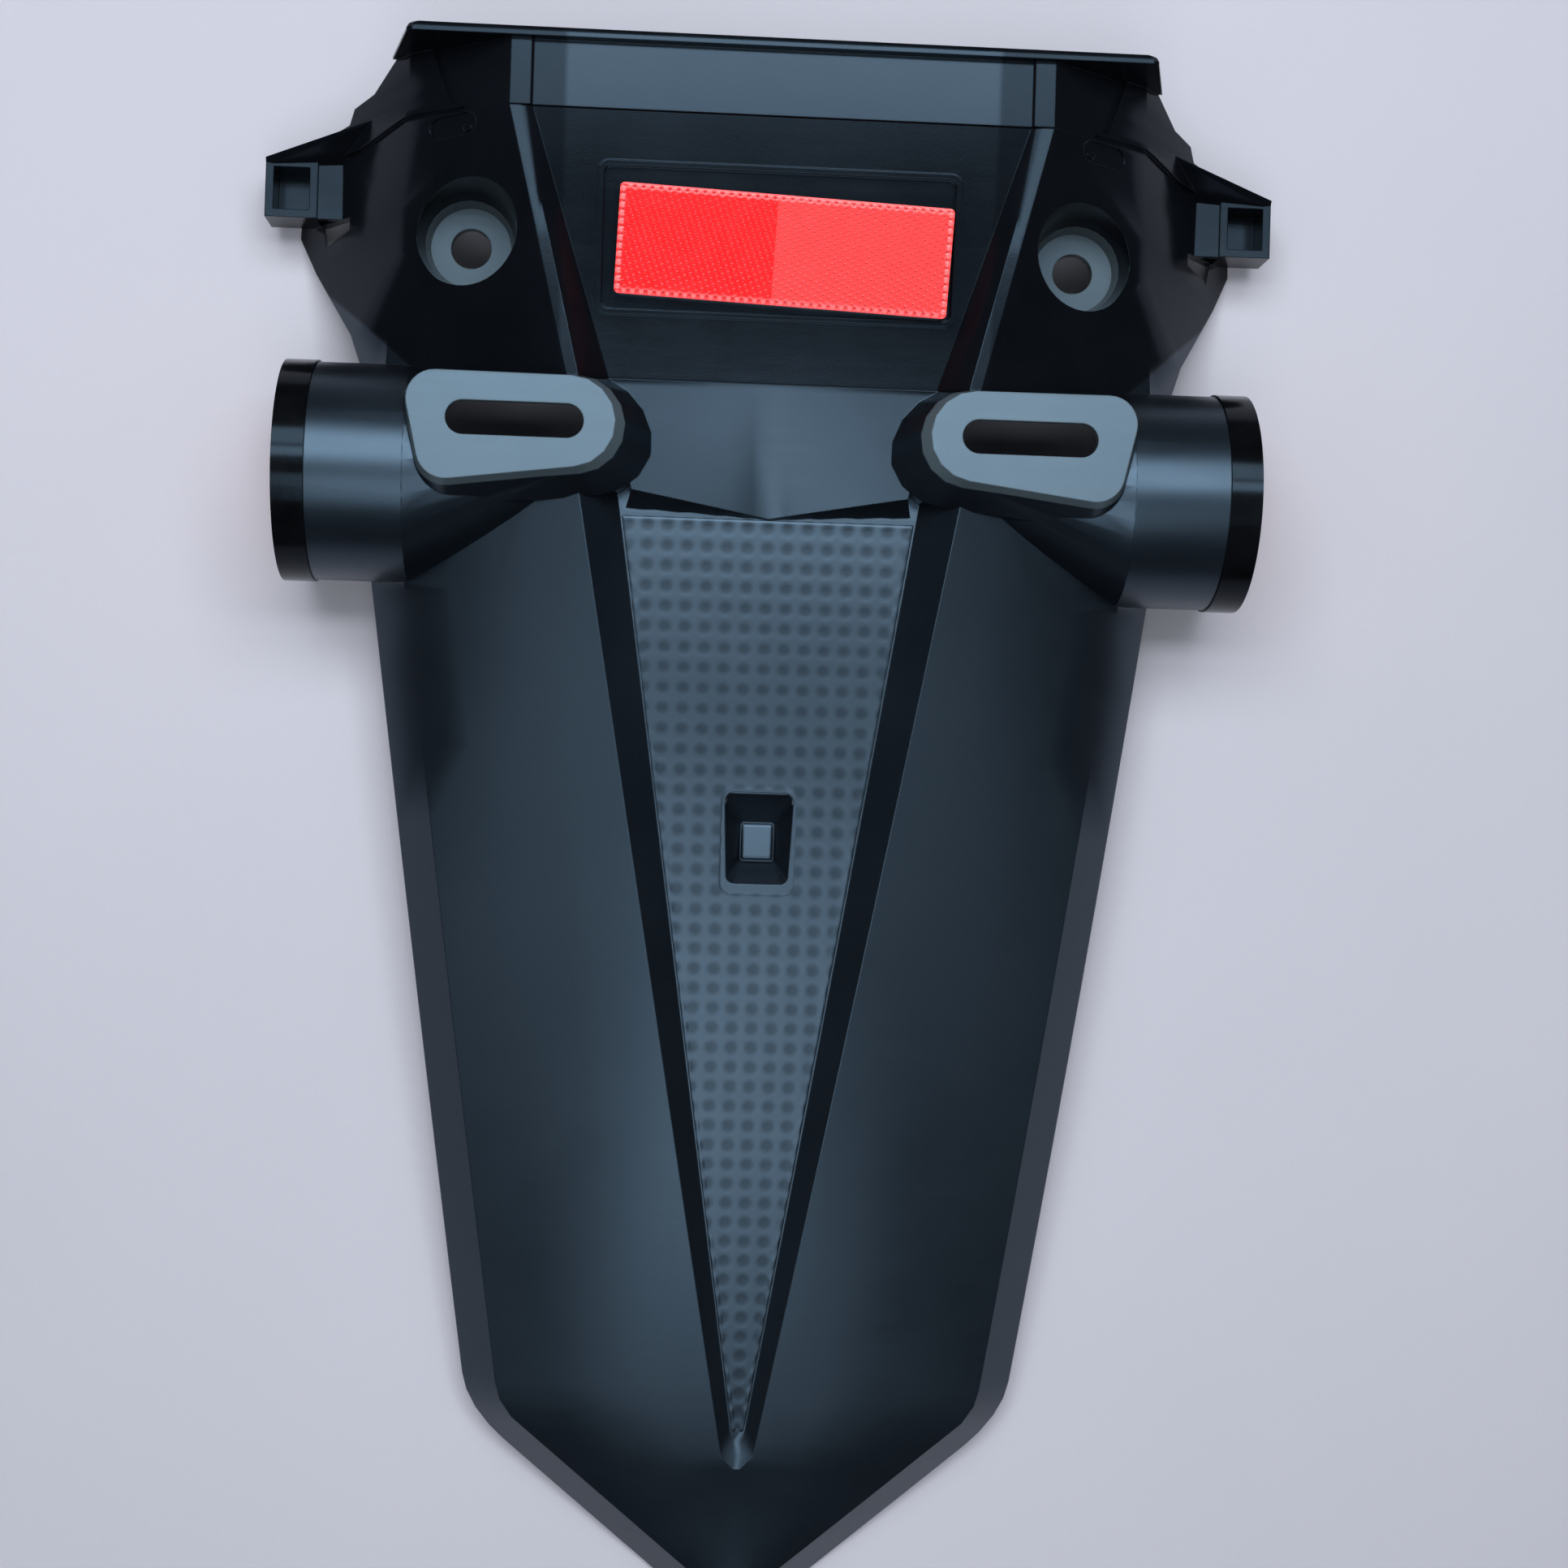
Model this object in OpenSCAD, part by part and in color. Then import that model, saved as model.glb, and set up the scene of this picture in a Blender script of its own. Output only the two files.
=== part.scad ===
// Motorcycle rear fender: one moulded shell with a mounting bracket at its seat end,
// two slotted plate pads, two side pods and a long splash flap, plus its three reflectors.
// Millimetres. The outer face looks up (+Z), the seat end is at +Y and the flap tip at -Y.
// The modules are drawn with y = 0 on the line of the two mounting holes; in_frame() then moves
// every node so that the origin lies on the ground, under the middle of the part.

/* [Shell] */
// Thickness of the moulded skin
wall = 2.6; // [2.2:0.1:3]
// Thickness of the stiffening ribs underneath
rib_t = 2; // [1.6:0.1:2.4]
// Depth of the ribs below the skin
rib_h = 5; // [3:0.5:7]

/* [Bracket] */
// Seat end of the bracket, from the mounting holes
seat_end_y = 50.5; // [48:0.5:54]
// Height of the top bar
bar_z = 66; // [64:0.5:68]
// Half width of the top bar
bar_half = 71.5; // [70:0.5:74]
// Where the top bar ends and the reflector panel starts
bar_low_y = 30.5; // [29:0.5:33]
// Thickness of the lip along the seat end
lip_t = 2.4; // [2:0.1:3]
// Height of the lip above the top bar
lip_h = 2.2; // [1.5:0.1:3]
// Half width of the lip
lip_half = 98.3; // [96:0.1:100]
// Half width of the reflector panel at its top
panel_half_top = 65.5; // [63:0.5:67]
// Half width of the reflector panel at its foot
panel_half_low = 44; // [42:0.5:46]
// Height of the reflector panel at its foot
panel_low_z = 52; // [51:0.5:54]
// Width of the ridge beside the panel
ridge_w = 3; // [2:0.5:4]
// Half width over the ridges at the plate pads
ridge_half_low = 55; // [53.5:0.5:56]
// Height of the ridges at the plate pads
ridge_low_z = 60; // [58:0.5:61]
// Half width at the shoulders, at the seat end
shoulder_half = 98; // [96:0.5:100]
// Height of the shoulders, at the seat end
shoulder_z = 47; // [45:0.5:49]
// Half width at the shoulders, beside the plate pads
shoulder_half_low = 105; // [103:0.5:107]
// Height of the shoulders, beside the plate pads
shoulder_low_z = 36; // [34:0.5:38]
// Steepness of the side walls, in degrees from level
side_angle = 52; // [48:1:58]
// Thickness of the raised corner panels above the shoulders
corner_step = 1.2; // [0.8:0.1:1.6]
// Depth of the shallow recess under each corner panel
slit_depth = 0.6; // [0.3:0.1:1]

/* [Mounting holes] */
// Distance between the two mounting holes
hole_pitch = 165.8; // [162:0.2:168]
// Diameter of a mounting hole
hole_d = 11; // [9:0.5:12]
// Diameter of the seat around a mounting hole
seat_d = 22; // [20:0.5:24]
// Diameter of the sunk mouth above the seat
mouth_d = 28; // [26:0.5:29]
// Height of the seat above the ground
seat_z = 32; // [28:0.5:36]
// Thickness of the seat
seat_t = 3; // [2.5:0.1:4]

/* [Plate pads] */
// Distance between the middles of the two plate slots
slot_pitch = 135.6; // [132:0.2:138]
// Length of a plate slot, end to end
slot_len = 36; // [32:0.5:38]
// Width of a plate slot
slot_w = 9; // [7:0.5:10]
// Height of the pad faces
pad_z = 64; // [63:0.5:66]
// Line of the slots, from the mounting holes
pad_y = -51.2; // [-52:0.1:-50.5]
// Height of the foot of the flared pad skirts
skirt_z = 53; // [50:0.5:54]

/* [Side pods] */
// Line of the pods, from the mounting holes
pod_y = -62.4; // [-64:0.1:-61]
// Height of the pod axis
pod_z = 31.5; // [31.2:0.1:33]
// Diameter of a pod
pod_d = 59; // [57:0.5:61]
// Reach of a pod past the shoulder beside the plate pads
pod_reach = 17.5; // [15:0.5:20]
// Length of the straight round part of a pod
barrel_len = 25.5; // [23:0.5:28]
// Length of the fairing between the round part and the plate pad
fairing_len = 49; // [44:1:52]
// Diameter of the fairing at its narrow end
fairing_d = 20; // [16:1:24]

/* [Deck between the pads] */
// Height of the deck at its seat edge
deck_z = 56; // [55:0.5:58]
// Height of the deck beside the pads, at its lower edge
deck_low_z = 52; // [51:0.5:53]
// Half width of the deck at its lower edge
deck_half = 37; // [36:0.5:39]

/* [Flap] */
// Start of the sunk centre panel, from the mounting holes
flap_top_y = -72; // [-73:0.5:-71]
// Length of the flap from there to its tip
flap_len = 315; // [305:1:325]
// Height of the centre panel at its start
flap_z = 45.5; // [44.5:0.5:46]
// Half width over the rim at the pods
rim_half = 108; // [106:0.5:110]
// Half width over the rim at the lower corners
rim_corner_half = 76; // [72:0.5:80]
// Reach of the pointed end, from the corners to the tip
point_len = 65.6; // [60:0.5:70]
// Radius of the lower corners
corner_r = 10; // [6:0.5:14]
// Width of the turned-down rim
rim_w = 10; // [8:0.5:12]
// Depth of the turned-down rim
rim_drop = 11; // [9:0.5:12]
// Half width of the centre panel at its start
vee_half = 40; // [38:0.2:41]
// Reach of the centre panel past the lower corners
vee_past = 12.6; // [10:0.2:15]
// Width of the sloping walls beside the centre panel, at its start
vee_wall_w = 10.2; // [9:0.2:12]
// Bulge of the side panels between rim and centre
flap_bulge = 1.6; // [0.5:0.1:2.5]
// Middle of the small rectangular recess
pocket_y = -159.8; // [-170:0.2:-150]
// Width of the small recess at its mouth
pocket_w = 19; // [17:0.5:21]
// Length of the small recess at its mouth
pocket_len = 27; // [24:0.5:30]
// Width of the floor of the small recess
pocket_floor_w = 9.2; // [7:0.2:11]
// Length of the floor of the small recess
pocket_floor_len = 10.6; // [8:0.2:13]
// Depth of the small recess
pocket_depth = 7; // [5:0.5:8]
// Radius of the corners of the small recess at its mouth
pocket_r = 2.6; // [1.5:0.1:3.5]
// Radius of the corners of its floor
pocket_floor_r = 1; // [0.5:0.1:1.5]

/* [Ears] */
// Half width over the ears
ear_half = 141.4; // [139:0.2:143]
// Height of the ear web
ear_z = 18; // [16:0.5:20]
// Seat side of the ear web
ear_top_y = 26; // [25:0.5:27]
// Flap side of the ear web
ear_low_y = 9.8; // [9:0.1:11]
// Thickness of the ear web and of the walls of its socket
ear_t = 2.2; // [1.8:0.1:2.4]
// Width of the socket in the ear
socket_w = 10; // [8:0.5:10.5]
// Depth of the socket in the ear
socket_depth = 12; // [9:0.5:14]

/* [Rear reflector] */
// Length of the reflector
reflector_len = 88; // [84:0.5:89]
// Height of the reflector face
reflector_h = 28.5; // [27:0.5:30]
// Thickness of the reflector
reflector_t = 6.5; // [5.5:0.5:8]
// Turn of the fitted reflector in its recess, in degrees
reflector_turn = 2.2; // [0:0.1:3]
// Gap left all round between the reflector and the walls of its recess
recess_gap = 0.6; // [0.4:0.1:1]
// Width of the raised frame around the recess
frame_w = 1.5; // [1.2:0.1:2]
// Depth of the recess below the panel
recess_depth = 1.6; // [1:0.1:2]

/* [Side reflectors] */
// Diameter of the reflector housing
side_d = 60; // [58:0.5:61]
// Depth of the reflector housing
side_depth = 8.4; // [7:0.2:10]
// Rise of the lens dome above the housing
dome_h = 2.6; // [1.5:0.1:3.5]

/* [Fixings] */
// Diameter of the reflector studs
stud_d = 5; // [4:0.5:6]
// Width across the flats of the nuts
nut_af = 8; // [8:0.5:10]
// Thickness of the nuts
nut_t = 4; // [3:0.5:5]
// Thickness of the washers
washer_t = 1; // [0.8:0.1:1.6]
// Diameter of the washers
washer_d = 12; // [11:0.5:14]
// Clearance all round between a stud and its hole in the shell
stud_clear = 0.7; // [0.4:0.1:1]
// Running clearance of threads and of the pieces that drop into each other
fit_clear = 0.05; // [0.02:0.01:0.1]

/* [Hidden] */
$fn = 64;
arc_steps = 8;
dome_steps = 8;
drop = 14;
ring_steps = 40;
overlap = 1;
bar_step = 0.3;
bar_edge = 0.7;
vee_ramp = 8;
mouth_rise = 14;
lip_bevel = 1.2;
lip_cover = 0.7;
bracket_end_y = -55.4;
web_foot = 5.5;
web_flange = 2.5;
gusset_w = 9.5;
gusset_rise = 16;

pad_edge_y = pad_y + 14;
pod_half = shoulder_half_low + pod_reach;
fairing_x = pod_half - barrel_len;
ear_root = shoulder_half + 8;
socket_x = ear_half - ear_t - socket_w;
side_run = 1 / tan(side_angle);
tip_y = flap_top_y - flap_len;
corner_y = tip_y + point_len;
point_slope = rim_corner_half / point_len;
vee_end_y = corner_y - vee_past;
edge_tip_y = vee_end_y - 3.4;
ledge_tip_y = vee_end_y - 21.2;
crease_tip_y = tip_y + rim_w * 1.14;
panel_top_z = bar_z - 1.5;
panel_tilt = atan2(panel_top_z - panel_low_z, bar_low_y - pad_edge_y);
recess_mid = -1.4;
reflector_off = [1.4, -1.9];
recess_len = reflector_len * cos(reflector_turn) + reflector_h * sin(reflector_turn)
    + 2 * (abs(reflector_off.x) + recess_gap);
recess_h = reflector_h * cos(reflector_turn) + reflector_len * sin(reflector_turn)
    + 2 * (abs(reflector_off.y) + recess_gap);
frame_len = recess_len + 2 * frame_w;
frame_h = recess_h + 2 * frame_w;
side_floor_x = pod_half;

// Value on the straight line through (y0, a) and (y1, b)
function between(y, y0, a, y1, b) = a + (b - a) * (y - y0) / (y1 - y0);

// Unit normal on the left of the step from a to b
function left_of(a, b) = [a.y - b.y, b.x - a.x] / norm(b - a);

// Open path moved to its left by t, with mitred corners
function inset(path, t) = let (last = len(path) - 1) [
    for (i = [0:last]) let (
        before = left_of(path[max(i - 1, 0)], path[max(i, 1)]),
        after = left_of(path[min(i, last - 1)], path[min(i + 1, last)])
    ) path[i] + t * (before + after) / (1 + before * after)];

// Right half of a section, its middle points and the mirrored left half
function both_sides(half, middle) = concat(half, middle,
    [for (i = [len(half) - 1:-1:0]) [-half[i].x, half[i].y]]);

// Section of the hollow: the path moved in by t, with both feet carried below the ground
function hollow(path, t) = let (moved = inset(path, t), last = len(path) - 1)
    concat([[moved[0].x, -drop]], moved, [[moved[last].x, -drop]]);

// Closed skin through rings with the same number of points
module skin(rings) {
    n = len(rings[0]);
    count = len(rings);
    points = [for (ring = rings) for (p = ring) p];
    sides = [for (i = [0:count - 2]) for (j = [0:n - 1]) let (
        a = i * n + j, b = i * n + (j + 1) % n, c = a + n, d = b + n)
        each (j < n / 2 ? [[b, a, c], [b, c, d]] : [[b, a, d], [a, c, d]])];
    first = [[for (j = [0:n - 1]) j]];
    last = [[for (j = [n - 1:-1:0]) (count - 1) * n + j]];
    polyhedron(points, concat(first, sides, last), convexity = 8);
}

// Ring in the plane at y from a section of (x, z) points
function ring_at(y, section) = [for (p = section) [p.x, y, p.y]];

// Outline of a belt laid round circles [x, y, radius] in counterclockwise order
function tangent(a, b) = atan2(b.y - a.y, b.x - a.x)
    - acos((a.z - b.z) / norm([b.x - a.x, b.y - a.y]));
function belt(wheels) = let (n = len(wheels)) [
    for (k = [0:n - 1]) let (
        w = wheels[k],
        start = tangent(wheels[(k + n - 1) % n], w),
        raw = tangent(w, wheels[(k + 1) % n]),
        end = raw < start ? raw + 360 : raw
    ) for (i = [0:arc_steps]) let (a = start + (end - start) * i / arc_steps)
        [w.x + w.z * cos(a), w.y + w.z * sin(a)]];

// Bracket: section of its outer skin at y, from the foot of the side wall to the panel
foot_line = [[-60, 29], [-38, 29], [-23, 22], [-3.3, 7], [8, 0], [30, 0],
    [33.5, 12], [35, 22], [39, 24], [41, 32], [seat_end_y - 1.5, shoulder_z - web_foot + 0.3],
    [seat_end_y, shoulder_z - web_foot + 0.3]];
function shoulder_x(y) = between(y, seat_end_y, shoulder_half, pad_edge_y, shoulder_half_low);
function shoulder_h(y) = between(y, seat_end_y, shoulder_z, pad_edge_y, shoulder_low_z);
function ridge_x(y) = between(y, bar_low_y, bar_half, pad_edge_y, ridge_half_low);
function ridge_h(y) = between(y, bar_low_y, bar_z - 0.4, pad_edge_y, ridge_low_z);
function panel_h(y) = between(y, bar_low_y, panel_top_z, pad_edge_y, panel_low_z);
function panel_x(y) = between(y, bar_low_y, panel_half_top, pad_edge_y, panel_half_low);
function bracket_half(y, bar) = let (foot = lookup(y, foot_line)) concat(
    [[shoulder_x(y) + (shoulder_h(y) - foot) * side_run, foot], [shoulder_x(y), shoulder_h(y)]],
    bar ? [[bar_half, bar_z], [panel_half_top + bar_edge, bar_z], [panel_half_top, bar_z - bar_edge]]
        : [[ridge_x(y), ridge_h(y)], [ridge_x(y) - ridge_w, ridge_h(y)], [panel_x(y), panel_h(y)]]);
bracket_rows = [[seat_end_y - lip_cover, true], [seat_end_y - 1.5, true], [41, true], [39, true], [35, true],
    [33.5, true], [bar_low_y + bar_step, true], [bar_low_y, false], [8, false], [-3.3, false],
    [-23, false], [pad_edge_y - 1, false], [bracket_end_y, false]];
function bracket_path(row) = both_sides(bracket_half(row[0], row[1]), []);

module bracket_body(out = 0) {
    skin([for (row = bracket_rows) ring_at(row[0], inset(bracket_path(row), -out))]);
}

module bracket_hollow() {
    end = bracket_rows[0];
    rows = concat([[end[0] + drop, end[1], end[0]]], [for (row = bracket_rows) [row[0], row[1], row[0]]]);
    skin([for (row = rows) ring_at(row[0], hollow(bracket_path([row[2], row[1]]), wall))]);
}

// Raised corner panels: the bracket skin again, one step higher, inside their outline
corner_outline = [[seat_end_y, 93.8], [33, 87.8], [31.6, 84], [32, 97], [31.4, 102], [27.5, 114],
    [24.5, 140], [seat_end_y, 140]];
module corner_panels() {
    intersection() {
        bracket_body(corner_step);
        for (side = [0, 1]) mirror([side, 0, 0])
            linear_extrude(height = bar_z) polygon([for (p = corner_outline) [p.y, p.x]]);
    }
}

// Shallow recess under each corner panel, with a small pip at its inner end
module corner_slit() {
    difference() {
        linear_extrude(height = bar_z) difference() {
            polygon(belt([[83.4, 27.7, 2.8], [90.8, 27.4, 2.8]]));
            translate([83, 26.5]) circle(d = 2.2);
        }
        bracket_body(-slit_depth);
    }
}

// Lip and end web along the seat end, with rounded upright corners
module seat_lip() {
    foot = shoulder_z - web_foot;
    top = bar_z + lip_h;
    function edge(in) = [[shoulder_half + web_foot * side_run + web_flange - in, foot],
        [lip_half + 0.3 - in, top - lip_bevel], [lip_half - lip_bevel - in, top - in / 4]];
    round = [[0, 1.6], [0.5, 0.6], [1.5, 0], [lip_t, 0]];
    skin([for (r = round) ring_at(seat_end_y - r[0], both_sides(edge(r[1]), []))]);
}

// Deck between the pads: sinks to a soft valley on the centre line, with a sloping front
deck_low = flap_z - 8;
deck_across = [1, 0.8, 0.55, 0.3, 0.12];
module deck(in = 0) {
    y0 = pad_edge_y - 1 - in;
    side_y = flap_top_y + 5.2 + in;
    mid_y = flap_top_y - 0.9 + in;
    function top_ring(t) = let (
            half = panel_half_low - in + t * (deck_half - panel_half_low),
            side_z = deck_z - in + t * (deck_low_z - deck_z),
            mid_z = deck_z - in + t * (flap_z + 0.6 - deck_z),
            row = [for (k = deck_across) [k * half, y0 + t * (mid_y - y0 + k * (side_y - mid_y)),
                mid_z + pow(k, 0.8) * (side_z - mid_z)]])
        concat([[half, row[0].y, deck_low - in]], row, [[0, y0 + t * (mid_y - y0), mid_z]],
            [for (i = [len(row) - 1:-1:0]) [-row[i].x, row[i].y, row[i].z]],
            [[-half, row[0].y, deck_low - in]]);
    front_run = 0.6 * (deck_low_z - deck_low - 2);
    front = [for (p = top_ring(1)) let (k = abs(p.x) / deck_half)
        [p.x * (1 + 3 / deck_half), p.y - 2 - k * front_run, deck_low - in]];
    skin(concat([for (t = [0, 0.35, 0.7, 1]) top_ring(t)], [front]));
}

// Plate pad: a flat face on a flared skirt, each a belt round three circles
slot_x = slot_pitch / 2;
pad_wheels = [[slot_x - 14.3, pad_y, 12], [slot_x + 17.8, pad_y - 8.6, 7.6],
    [slot_x + 20.8, pad_y + 4.6, 7.6]];
skirt_wheels = [[slot_x - 20.3, pad_y - 1.8, 16], [slot_x + 18.2, pad_y - 12.4, 9.6],
    [slot_x + 21.6, pad_y + 4.4, 9]];
function shrunk(wheels, by) = [for (w = wheels) [w.x, w.y, w.z - by]];
module pad(in = 0) {
    foot = belt(shrunk(skirt_wheels, in));
    face = belt(shrunk(pad_wheels, in));
    skin([[for (p = foot) [p.x, p.y, skirt_z - 14 - in]], [for (p = foot) [p.x, p.y, skirt_z - in]],
        [for (p = face) [p.x, p.y, pad_z - in]]]);
}

module slot_cut() {
    reach = slot_len - slot_w;
    translate([slot_x, pad_y, 0]) {
        for (end = [-1, 1]) translate([end * reach / 2, 0, 0]) cylinder(h = pad_z + 1, d = slot_w);
        translate([-reach / 2, -slot_w / 2, 0]) cube([reach, slot_w, pad_z + 1]);
    }
}

// Side pod: a round barrel with a fairing that narrows towards the pad
function barrel_ring(x, y, z, r) = [for (i = [0:ring_steps - 1]) let (a = 360 * i / ring_steps)
    [x, y + r * cos(a), z + r * sin(a)]];
module pod(in = 0) {
    translate([fairing_x, pod_y, pod_z]) rotate([0, 90, 0])
        cylinder(h = pod_half - fairing_x - in, d = pod_d - 2 * in);
    skin([barrel_ring(fairing_x - fairing_len, pod_y + 6.5, pod_z + 13.7, fairing_d / 2 - in),
        barrel_ring(fairing_x, pod_y, pod_z, pod_d / 2 - in - 0.05),
        barrel_ring(fairing_x + 3, pod_y, pod_z, pod_d / 2 - in - 4)]);
}

// Flap: section of its outer skin at y
tip_half = 2.4;
function rim_x(y) = let (straight = between(y, -94, rim_half, corner_y, rim_corner_half),
        pointed = (y - tip_y) * point_slope,
        gap = straight - pointed)
    gap > corner_r ? max(pointed, tip_half)
    : gap > -corner_r ? straight - pow(corner_r + gap, 2) / (4 * corner_r)
    : straight;
function crease_x(y) = min(rim_x(y) - rim_w, max((y - crease_tip_y) * point_slope, 1.6));
function vee_x(y) = max(between(y, flap_top_y, vee_half, edge_tip_y, 0), 0.4);
function ledge_line(y) = between(y, flap_top_y, vee_half + vee_wall_w, ledge_tip_y, 0);
function ledge_x(y) = max(min(ledge_line(y), y - vee_end_y + 0.9), 0.9);
function fall(y) = max(flap_top_y - y, 0);
function centre_h(y) = flap_z - 0.02 * fall(y) - 0.297 * pow(fall(y), 2) / 1000;
function ledge_h(y) = centre_h(y) + 0.9 * max(ledge_line(y) - vee_x(y) - 0.5, 0);
function floor_h(y) = let (sunk = min(max((y - vee_end_y) / vee_ramp, 0), 1))
    ledge_h(y) + sunk * (centre_h(y) - ledge_h(y));
function crease_h(y) = centre_h(y) - max(13.6 - 0.042 * fall(y), 0.6);
function rim_h(y) = max(crease_h(y) - rim_drop, 0);
function panel_point(y, t) = [
    crease_x(y) + t * (ledge_x(y) - crease_x(y)),
    crease_h(y) + t * (ledge_h(y) - crease_h(y)) + 4 * t * (1 - t) * flap_bulge * min(crease_x(y) / 60, 1)];
function flap_path(y) = both_sides(
    concat([[rim_x(y), rim_h(y)]], [for (t = [0, 0.25, 0.5, 0.75, 1]) panel_point(y, t)],
        [[vee_x(y), floor_h(y)]]),
    [[0, floor_h(y)]]);
flap_start_y = -50;
flap_rows = concat([flap_start_y, flap_top_y, -94],
    [for (y = [-115:-21:corner_y + 12]) y],
    [for (s = [10, 5, 0, -5]) corner_y + s], [vee_end_y + 3.8, vee_end_y],
    [for (y = [vee_end_y - 9:-12:crease_tip_y + 4]) y], [crease_tip_y]);

module flap_body() {
    narrow = tip_half / rim_x(crease_tip_y);
    tip_row = [for (p = flap_path(crease_tip_y)) [p.x * narrow, (p.y - rim_h(crease_tip_y)) * 0.12]];
    skin(concat([for (y = flap_rows) ring_at(y, flap_path(y))], [ring_at(tip_y, tip_row)]));
}

module flap_hollow() {
    rows = [for (y = flap_rows) if (y > crease_tip_y + 6) y];
    skin([for (y = rows) ring_at(y, hollow(flap_path(y), wall * (y < corner_y - 6 ? 1.5 : 1)))]);
}

// Ear: a level web with a sloping gusset along its seat side and a socket at its end
module ear() {
    web = ear_z - ear_t;
    tip = ear_top_y;
    translate([0, 0, web]) linear_extrude(height = ear_t)
        polygon([[ear_root, ear_low_y], [socket_x, ear_low_y], [socket_x, ear_top_y], [ear_root, ear_top_y]]);
    skin([
        [[ear_root, ear_top_y, web], [ear_root, ear_top_y + gusset_w, web],
            [ear_root, ear_top_y + gusset_w, ear_z + gusset_rise], [ear_root, ear_top_y, ear_z]],
        [[ear_half, tip - ear_t, web], [ear_half, tip, web], [ear_half, tip, ear_z + 2],
            [ear_half, tip - ear_t, ear_z]]]);
    translate([socket_x - ear_t, ear_low_y, ear_z - socket_depth])
        cube([ear_half - socket_x + ear_t, tip - ear_low_y, socket_depth + overlap]);
}

module socket_cut() {
    translate([socket_x, ear_low_y + ear_t, ear_z - socket_depth + ear_t])
        cube([socket_w, ear_top_y - ear_low_y - 2 * ear_t, socket_depth + 10]);
}

// Window in the side wall beside the ear, its corners measured from the shoulder and from the
// flap side of the web
window_corners = [[19.5, 0], [28, 0], [27, -6.4], [19.5, -3.4]];
module window_cut() {
    linear_extrude(height = bar_z / 2)
        polygon([for (c = window_corners) [shoulder_half + c.x, ear_low_y + c.y]]);
}

// Moves a node from the line of the mounting holes to the middle of the part
module in_frame() {
    translate([0, -(seat_end_y + tip_y) / 2, 0]) children();
}

// Frame of the reflector panel: its middle, with z square to the panel
module on_panel() {
    translate([0, recess_mid, panel_h(recess_mid)]) rotate([panel_tilt, 0, 0]) children();
}
module on_reflector() {
    on_panel() translate([reflector_off.x, reflector_off.y, -recess_depth])
        rotate([0, 0, -reflector_turn]) children();
}
module rounded_plate(size, r, h) {
    linear_extrude(height = h) {
        square([size.x - 2 * r, size.y], center = true);
        square([size.x, size.y - 2 * r], center = true);
        for (x = [-1, 1], y = [-1, 1]) translate([x * (size.x / 2 - r), y * (size.y / 2 - r)]) circle(r);
    }
}

// Material that stays inside the hollow: ribs, the cups of the mounting holes and local pads
module stays() {
    for (side = [-1, 1]) {
        translate([side * hole_pitch / 2, 0, seat_z - seat_t]) cylinder(h = 40, d = mouth_d + 2 * wall);
        translate([side * 61 - rib_t / 2, -36, panel_low_z - wall - rib_h - 2]) cube([rib_t, 82, 40]);
    }
    for (y = [-118, -200, -240, -282])
        translate([-crease_x(y) + 3, y - rib_t / 2, crease_h(y) - wall - rib_h])
            cube([2 * crease_x(y) - 6, rib_t, 60]);
    translate([-bar_half, bar_low_y - rib_t / 2, bar_z - wall - rib_h - 2]) cube([2 * bar_half, rib_t, 30]);
    on_panel() translate([-frame_len / 2, -frame_h / 2, -recess_depth - wall]) cube([frame_len, frame_h, 20]);
    translate([-pocket_w / 2 - wall, pocket_y - pocket_len / 2 - wall,
        centre_h(pocket_y) - pocket_depth - wall])
        cube([pocket_w + 2 * wall, pocket_len + 2 * wall, 40]);
}

module pocket_cut() {
    function rect(w, len, r, z) = [for (p = belt([for (c = [[-1, -1], [1, -1], [1, 1], [-1, 1]])
        [c.x * (w / 2 - r), c.y * (len / 2 - r), r]])) [p.x, pocket_y + p.y, z]];
    top = centre_h(pocket_y);
    skin([rect(pocket_floor_w, pocket_floor_len, pocket_floor_r, top - pocket_depth),
        rect(pocket_w, pocket_len, pocket_r, top + 1), rect(pocket_w, pocket_len, pocket_r, top + 6)]);
}

// Outer mass of the moulding, its hollow, and the cuts through both
module outside() {
    bracket_body();
    corner_panels();
    seat_lip();
    deck();
    flap_body();
    on_panel() translate([0, 0, -1]) rounded_plate([frame_len, frame_h], 3, 1.9);
    for (side = [0, 1]) mirror([side, 0, 0]) {
        pad();
        pod();
        ear();
    }
}
module inside() {
    difference() {
        union() {
            bracket_hollow();
            flap_hollow();
            deck(wall);
            for (side = [0, 1]) mirror([side, 0, 0]) {
                pad(wall);
                pod(wall);
            }
        }
        stays();
    }
}
module cuts() {
    on_panel() translate([0, 0, -recess_depth])
        rounded_plate([recess_len, recess_h], 2, 20);
    on_reflector() translate([0, 0, -20]) cylinder(h = 40, d = stud_d + 2 * stud_clear);
    pocket_cut();
    for (side = [0, 1]) mirror([side, 0, 0]) {
        slot_cut();
        socket_cut();
        window_cut();
        corner_slit();
        translate([hole_pitch / 2, 0, seat_z - seat_t - 1]) cylinder(h = seat_t + 2, d = hole_d);
        translate([hole_pitch / 2, 0, seat_z]) cylinder(h = mouth_rise, d1 = seat_d, d2 = mouth_d);
        translate([hole_pitch / 2, 0, seat_z + mouth_rise]) cylinder(h = 30, d = mouth_d);
        translate([pod_half - 2 * wall, pod_y, pod_z]) rotate([0, 90, 0])
            cylinder(h = 4 * wall, d = stud_d + 2 * stud_clear);
    }
}
module fender() {
    color([0.06, 0.065, 0.075]) in_frame() difference() {
        outside();
        inside();
        cuts();
    }
}

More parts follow.
